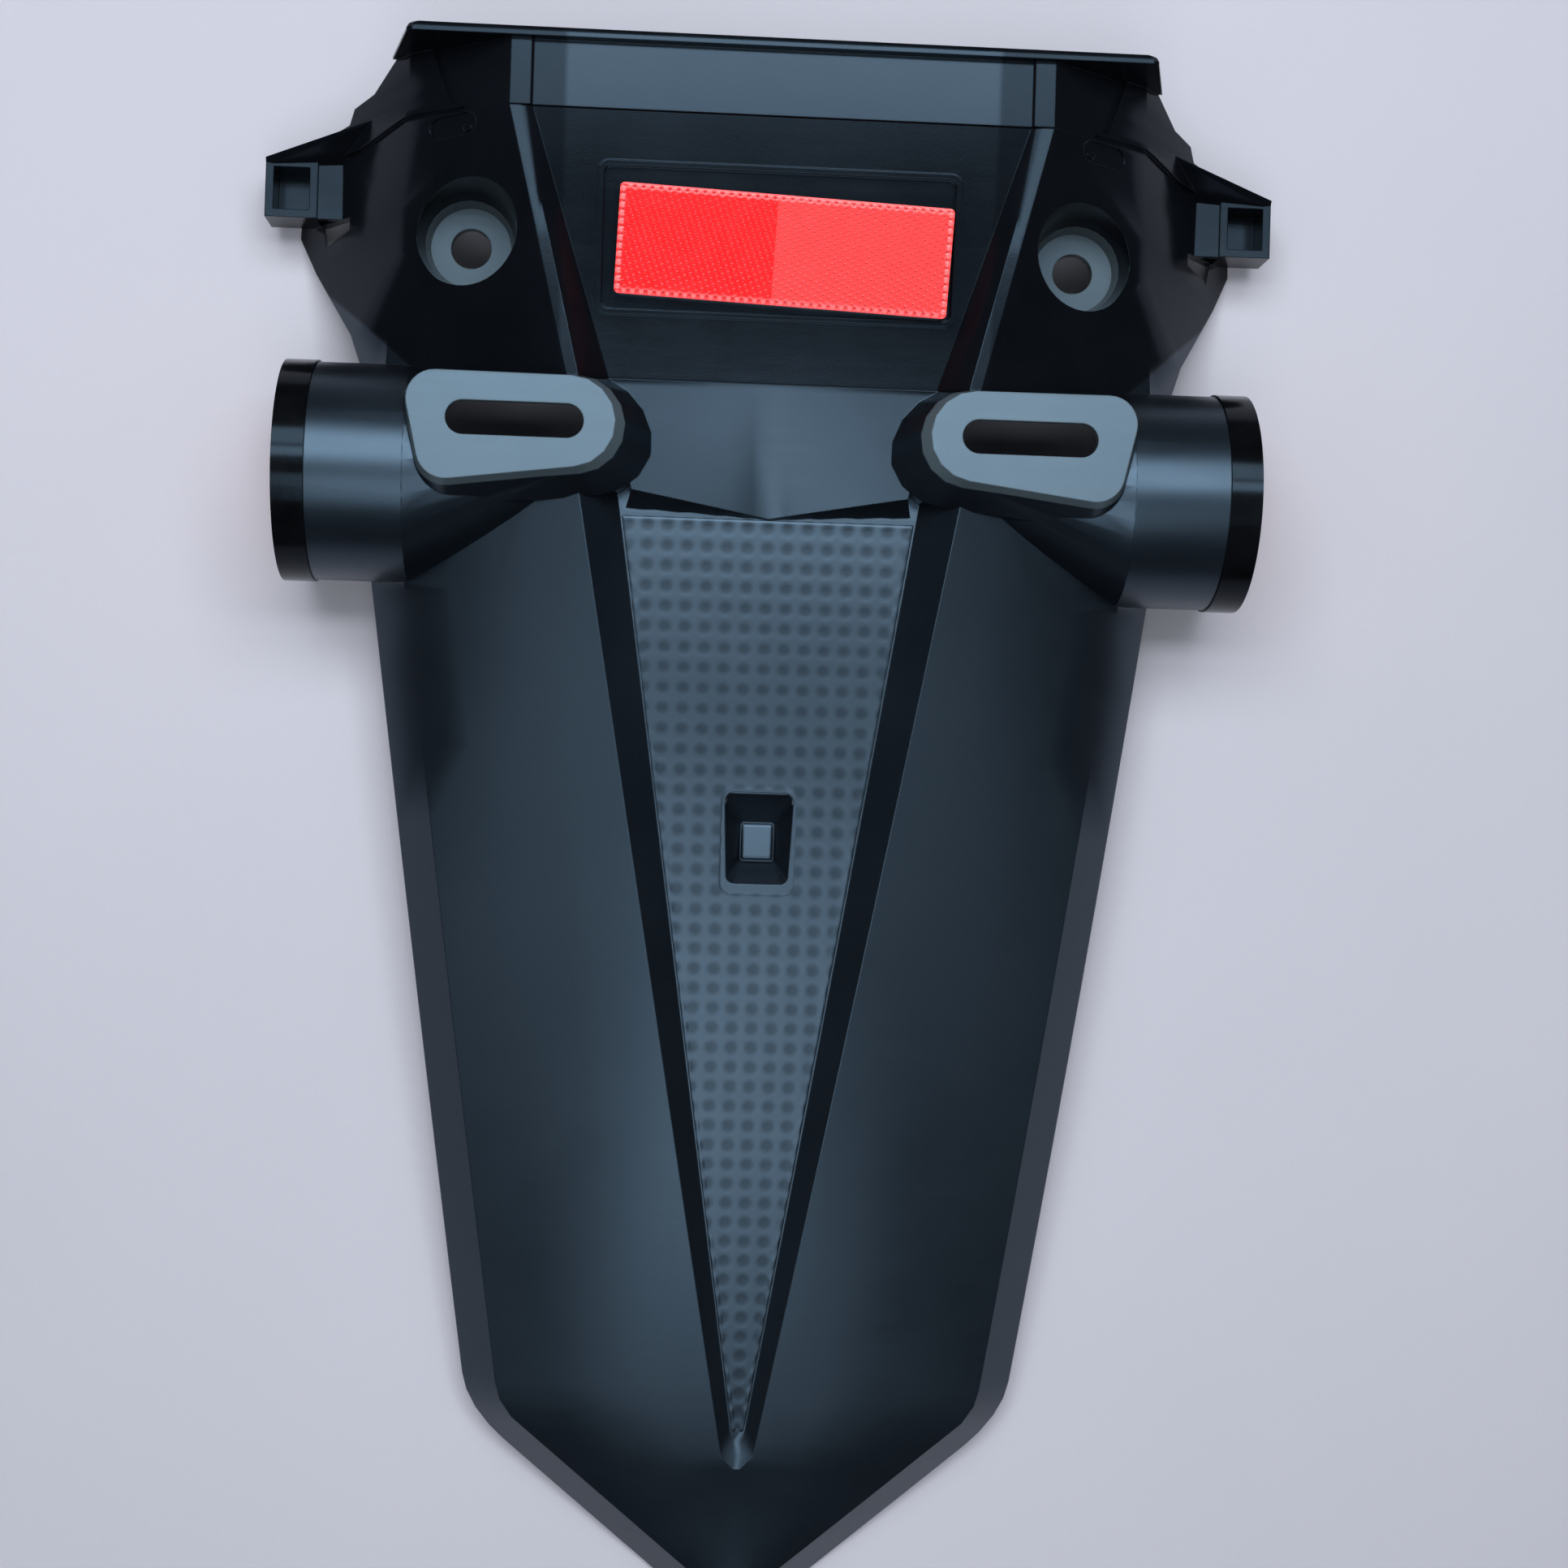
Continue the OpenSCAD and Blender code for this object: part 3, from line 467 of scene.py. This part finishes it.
def red_acrylic():
    """Deep clear red: two fields, pale teeth and dark pits, from the marks on the face."""
    f = Finish("red_acrylic")
    # The face glows faintly in its own colour: painted light, as the reflector is no lamp.
    f.set(Specular_IOR_Level=0.32, Emission_Strength=0.20)
    marks = f.add("ShaderNodeAttribute", attribute_name="marks")
    pit, tooth_glint, paler_field = f.add("ShaderNodeSeparateColor").outputs
    f.link(marks.outputs["Color"], pit.node.inputs[0])
    # Painted reflection and highlights: the right half is painted paler pink, and the crests of
    # the teeth pale pink.
    color = f.blend(tooth_glint, f.blend(paler_field, RED_FIELD, PALE_LIT_PINK), TOOTH_GLINT_PINK)
    # Painted shade: pits, notches and walls are painted deep red.
    color = f.blend(pit, color, SHADE_RED)
    f.feed("Base Color", color)
    # The painted glow takes the colour of the face.
    f.feed("Emission Color", color)
    haze = f.noise(220.0, 3.0)
    f.feed("Roughness", f.about(0.16, (haze, 0.10)))
    f.feed("Normal", f.bump(haze, 0.02 * MM, 0.3))
    return f.material


points, faces, marks = reflector_tray()
tray = new_piece("reflector_tray", points, faces, red_acrylic())
marked = tray.data.color_attributes.new("marks", "FLOAT_COLOR", "POINT")
marked.data.foreach_set("color", marks.ravel())
tray.data.set_sharp_from_angle(angle=math.radians(50.0))
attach(tray, "root")
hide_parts("rear_lens")


# Backing plate of the rear reflector
# A plain black moulded plate that lies in the tray from below. It is out of sight but for its
# underside, which is matt with tool marks.
BACKING_BLACK = ((0.010, 0.010, 0.011), (0.022, 0.022, 0.024))


def finish_node(node, material):
    """The material in every slot of a node, or in a new slot where it has none."""
    for slot in nodes[node].material_slots:
        slot.material = material
    if not nodes[node].material_slots:
        nodes[node].data.materials.append(material)


def backing_plastic():
    """Matt black plastic: mottled, with fine tool marks along the plate."""
    f = Finish("backing_plastic")
    mottle = f.noise(120.0, 4.0)
    marks = f.noise(500.0, 2.0, stretch=(1.0, 12.0, 1.0))
    f.feed("Base Color", f.ramp(mottle, [(0.3, BACKING_BLACK[0]), (0.7, BACKING_BLACK[1])]))
    f.feed("Roughness", f.about(0.55, (mottle, 0.15), (marks, 0.10)))
    f.feed("Normal", f.bump(marks, 0.04 * MM, 0.4, f.rounded_edges(0.3 * MM)))
    return f.material


finish_node("rear_backing", backing_plastic())


# Side reflectors
# Each is a round amber acrylic lens on a glossy black cup, fixed to the end of its pod by a stud.
# The lens is a low dome with rings of small prisms. The cup's rim is rounded and polished.
AMBER = ((0.74, 0.200, 0.014), (0.84, 0.245, 0.018))
CUP_BLACK = ((0.0015, 0.0015, 0.0018), (0.0035, 0.0035, 0.0040))
RING_PITCH, SPOKES, FACET = 2.6, 24, 0.30
DOME_STEPS = (288, 96)
DOME_FLAT = 0.88
RIM_ROUND = 0.7 * MM


def amber_lens(side):
    """Dome about the X axis: rings of prisms, each a tent across its ring and a wave around it."""
    lens_low, lens_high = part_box(side + "_lens")
    cup_low, cup_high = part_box(side + "_housing")
    out = 1 if side == "right" else -1
    radius = (lens_high[1] - lens_low[1]) / 2
    middle_y, middle_z = (lens_low[1] + lens_high[1]) / 2, (lens_low[2] + lens_high[2]) / 2
    back, brim, crown = (lens_low[0], cup_high[0], lens_high[0]) if out > 0 else (
        lens_high[0], cup_low[0], lens_low[0])
    around, rings = DOME_STEPS
    turn, share = np.meshgrid(np.linspace(0, 2 * np.pi, around, endpoint=False),
                              np.linspace(1, 0, rings))
    rise = abs(crown - brim)
    bowl = (radius ** 2 + rise ** 2) / (2 * rise)
    r = share * radius
    ring = r / (RING_PITCH * MM)
    tent = np.abs((ring % 1) - 0.5) * 2
    wave = 0.5 + 0.5 * np.cos(SPOKES * (np.floor(ring) + 1) / 2 * turn)
    facets = FACET * MM * (0.65 * tent + 0.35 * wave * (1 - tent))
    facets *= soft_step((DOME_FLAT - share) / 0.03)
    height = np.sqrt(bowl ** 2 - r ** 2) - (bowl - rise) - facets * soft_step(share / 0.06)
    height = np.concatenate([np.full((1, around), -abs(brim - back)), height])
    r = np.concatenate([np.full((1, around), radius), r])
    turn = np.concatenate([turn[:1], turn])
    x, y, z = brim + out * height, middle_y + r * np.cos(turn), middle_z + r * np.sin(turn)
    points = np.stack([x, y, z], axis=-1)[:-1].reshape(-1, 3)
    poles = np.array([[back, middle_y, middle_z], [x[-1, 0], middle_y, middle_z]])
    first = (np.arange(rings - 1)[:, None] * around + np.arange(around)).ravel()
    beside = (np.arange(rings - 1)[:, None] * around + (np.arange(around) + 1) % around).ravel()
    quads = np.stack([first, beside, beside + around, first + around], axis=1)
    around_one, end = np.arange(around), len(points)
    next_one = (around_one + 1) % around
    last = end - around
    floor = np.stack([np.full(around, end), next_one, around_one], axis=1)
    tip = np.stack([last + around_one, last + next_one, np.full(around, end + 1)], axis=1)
    faces = [face[::out] for part in (quads, floor, tip) for face in part.tolist()]
    return np.concatenate([points, poles]), faces


def amber_acrylic():
    """Clear amber, a little cloudy."""
    f = Finish("amber_acrylic")
    # The faint amber emission is a painted glow; the lens is no lamp.
    f.set(Specular_IOR_Level=0.6, Emission_Color=(0.9, 0.22, 0.01, 1.0), Emission_Strength=0.04)
    cloud = f.noise(90.0, 3.0)
    f.feed("Base Color", f.ramp(cloud, [(0.3, AMBER[0]), (0.7, AMBER[1])]))
    f.feed("Roughness", f.about(0.14, (cloud, 0.08)))
    f.feed("Normal", f.bump(cloud, 0.02 * MM, 0.3))
    return f.material


def cup_plastic():
    """Polished black plastic with fine rubs across the rim."""
    f = Finish("cup_plastic")
    f.set(Specular_IOR_Level=0.14, Specular_Tint=SHEEN_TINT)
    mottle = f.noise(70.0, 3.0)
    rubs = f.noise(240.0, 4.0, stretch=(5.0, 1.0, 1.0))
    f.feed("Base Color", f.ramp(mottle, [(0.3, CUP_BLACK[0]), (0.7, CUP_BLACK[1])]))
    f.feed("Roughness", f.about(0.15, (mottle, 0.06), (rubs, 0.08)))
    f.feed("Normal", f.bump(rubs, 0.02 * MM, 0.3))
    return f.material


amber, cup_black = amber_acrylic(), cup_plastic()
for side in ("left", "right"):
    lens = new_piece(side + "_dome", *amber_lens(side), amber)
    lens.data.set_sharp_from_angle(angle=math.radians(60.0))
    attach(lens, "root")
    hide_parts(side + "_lens")
    cup = welded_copy(side + "_housing", side + "_cup", cup_black)
    rim = cup.modifiers.new("rim", "BEVEL")
    rim.width = RIM_ROUND
    rim.segments = 3
    rim.limit_method = "ANGLE"
    rim.angle_limit = math.radians(50.0)
    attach(cup, "root")
    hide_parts(side + "_housing")


# Studs, washers and nuts
# Turned and pressed steel with a bright zinc plate, one set for each reflector. They clamp the
# reflectors through the skin and are seen only from below.
ZINC_DARK, ZINC_PALE = (0.42, 0.43, 0.44), (0.64, 0.64, 0.61)


def zinc_plate():
    """Zinc on steel: stained in clouds, with fine turning marks."""
    f = Finish("zinc_plate")
    f.set(Metallic=1.0)
    stain = f.noise(300.0, 4.0)
    turned = f.noise(2500.0, 2.0)
    f.feed("Base Color", f.ramp(stain, [(0.3, ZINC_DARK), (0.7, ZINC_PALE)]))
    f.feed("Roughness", f.about(0.32, (stain, 0.16), (turned, 0.06)))
    f.feed("Normal", f.bump(turned, 0.01 * MM, 0.5, f.rounded_edges(0.2 * MM)))
    return f.material


zinc = zinc_plate()
for place in ("rear", "left", "right"):
    for piece in ("stud", "washer", "nut"):
        finish_node(place + "_" + piece, zinc)


# Floor
# A plain pale studio floor of matt painted board. It is no part of the object.
FLOOR_HALF = 6.0
FLOOR_GAP = 0.4 * MM
FLOOR_PAINT = ((0.44, 0.425, 0.465), (0.475, 0.455, 0.50))


def floor_paint():
    """Matt pale paint, faintly clouded, with a fine roller texture."""
    f = Finish("floor_paint")
    cloud = f.noise(3.0, 5.0)
    f.feed("Base Color", f.ramp(cloud, [(0.3, FLOOR_PAINT[0]), (0.7, FLOOR_PAINT[1])]))
    f.feed("Roughness", f.about(0.68, (cloud, 0.08)))
    f.feed("Normal", f.bump(f.noise(160.0), 0.3 * MM, 0.15))
    return f.material


ground = low[2] - FLOOR_GAP
corners = np.array([(-1, -1, 0), (1, -1, 0), (1, 1, 0), (-1, 1, 0)]) * FLOOR_HALF
corners[:, 2] = ground
new_piece("floor", corners, [(0, 1, 2, 3)], floor_paint())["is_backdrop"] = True


# Light
# Seven soft panels hang level above the part, with gaps that keep the reflector panel and the ears
# dark, and one low panel behind the seat end shines under the bracket. A dim even sky fills the
# rest. Each panel: middle x and range of y in m from the mounting holes, width, radiance.
PANEL_RISE = 1.15
PANELS = {
    "over_pads": (0.0, (0.08, 0.27), 1.1, 11.5),
    "over_seat": (-0.05, (0.33, 0.75), 1.1, 8.5),
    "over_left": (-0.85, (-0.65, 0.05), 0.9, 1.2),
    "over_right": (0.85, (-0.65, 0.05), 0.9, 0.8),
    "over_deck": (-0.03, (-0.07, 0.01), 0.5, 1.8),
    "over_flap": (-0.05, (-0.55, -0.28), 0.55, 5.0),
    "over_tip": (-0.03, (-0.95, -0.55), 0.55, 4.4),
}
PANEL_COLOR = (0.88, 0.94, 1.0)
LOW_PANEL = ((0.0, 1.25, 0.24), (0.0, 0.15, 0.0), 0.3, 0.2, 0.25)
SKY, SKY_STRENGTH = (0.80, 0.87, 1.0, 1.0), 0.06


def soft_panel(name, place, aim, width, depth, watts):
    """A rectangular area light at a place, turned to face the aim."""
    data = bpy.data.lights.new(name, "AREA")
    data.shape = "RECTANGLE"
    data.size, data.size_y = width, depth
    data.energy = watts
    data.color = PANEL_COLOR
    light = bpy.data.objects.new(name, data)
    light.location = place
    light.rotation_mode = "QUATERNION"
    light.rotation_quaternion = (Vector(aim) - Vector(place)).to_track_quat("-Z", "Y")
    bpy.context.scene.collection.objects.link(light)


for name, (x, (near, far), width, radiance) in PANELS.items():
    y = (near + far) / 2 + HOLE_LINE * MM
    area = width * (far - near)
    soft_panel(name, (x, y, PANEL_RISE), (x, y, 0.0), width, far - near, radiance * math.pi * area)
soft_panel("behind_seat", *LOW_PANEL)

sky = bpy.data.worlds.new("sky")
bpy.context.scene.world = sky
sky.use_nodes = True
sky.node_tree.nodes["Background"].inputs["Color"].default_value = SKY
sky.node_tree.nodes["Background"].inputs["Strength"].default_value = SKY_STRENGTH


# Camera
# It looks almost straight down, from a little to the left and towards the tip. Its place, turn and
# lens were fitted to points of the part that are symmetrical.
CAMERA_PLACE = (-29.1, -153.8, 700.0)
CAMERA_TURN = (0.8129, -3.1147, 1.7249)
LENS_MM, SENSOR_MM = 55.9, 36.0

camera_data = bpy.data.cameras.new("camera")
camera_data.sensor_width = SENSOR_MM
camera_data.lens = LENS_MM
camera_data.clip_start = 0.05
camera_data.clip_end = 20.0
camera = bpy.data.objects.new("camera", camera_data)
turn = Vector([math.radians(angle) for angle in CAMERA_TURN])
camera.rotation_mode = "QUATERNION"
camera.rotation_quaternion = Quaternion(turn.normalized(), turn.length)
camera.location = Vector(CAMERA_PLACE) * MM + Vector((0.0, HOLE_LINE * MM, 0.0))
bpy.context.scene.collection.objects.link(camera)
bpy.context.scene.camera = camera
bpy.context.scene.view_settings.view_transform = "Standard"

low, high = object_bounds()
